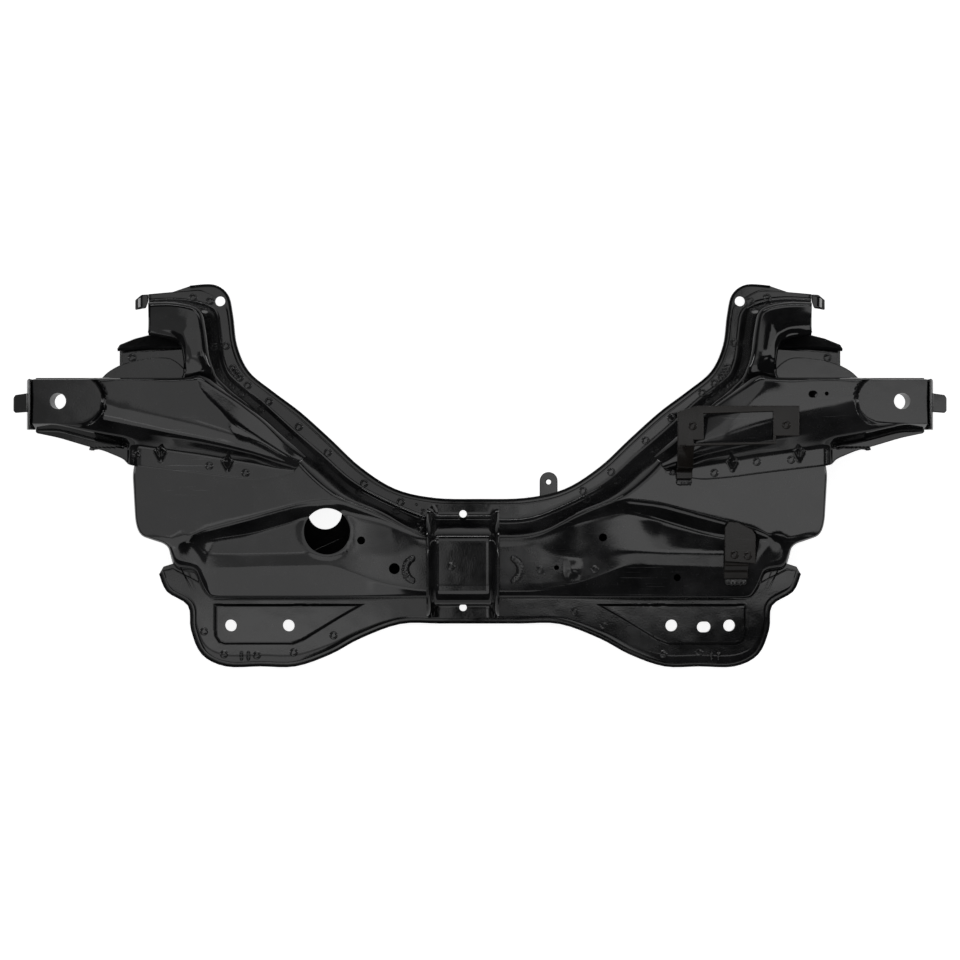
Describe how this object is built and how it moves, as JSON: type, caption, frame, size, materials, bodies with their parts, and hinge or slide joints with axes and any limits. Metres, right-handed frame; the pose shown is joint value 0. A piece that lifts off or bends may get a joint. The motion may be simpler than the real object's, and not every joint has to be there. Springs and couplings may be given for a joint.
{
  "type": "front suspension subframe",
  "caption": "Pressed-steel front crossmember with a U-shaped beam, towers, creased arms with body bolt holes, a saddle bracket and bolted seats.",
  "frame": {"origin": "middle of the part in plan, on the floor that the back panel's pan rests on", "axes": "+X across the vehicle to the picture's right, +Y towards the tower tops, +Z out of the front face"},
  "size_m": [0.9324, 0.3843, 0.1013],
  "materials": {
    "panel_paint": "gloss black dip paint",
    "bracket_paint": "semi-gloss black dip paint, slightly brown",
    "weld_bead": "painted weld bead"
  },
  "bodies": {
    "root": {"front_panel": "panel_paint", "back_panel": "panel_paint", "left_arm": "panel_paint", "right_arm": "panel_paint", "left_arm_closing_plate": "panel_paint", "right_arm_closing_plate": "panel_paint", "left_end_cap": "panel_paint", "right_end_cap": "panel_paint", "left_bolt_sleeve": "panel_paint", "right_bolt_sleeve": "panel_paint", "left_pivot_plate": "panel_paint", "right_pivot_plate": "panel_paint", "left_pivot_stiffener": "panel_paint", "right_pivot_stiffener": "panel_paint", "left_seat_plate": "panel_paint", "right_seat_plate": "panel_paint", "saddle_bracket": "panel_paint", "rim_tab": "panel_paint", "stay_bracket": "bracket_paint", "clip_bracket": "bracket_paint", "saddle_weld_beads": "weld_bead", "bracket_weld_beads": "weld_bead"}
  },
  "joints": []
}
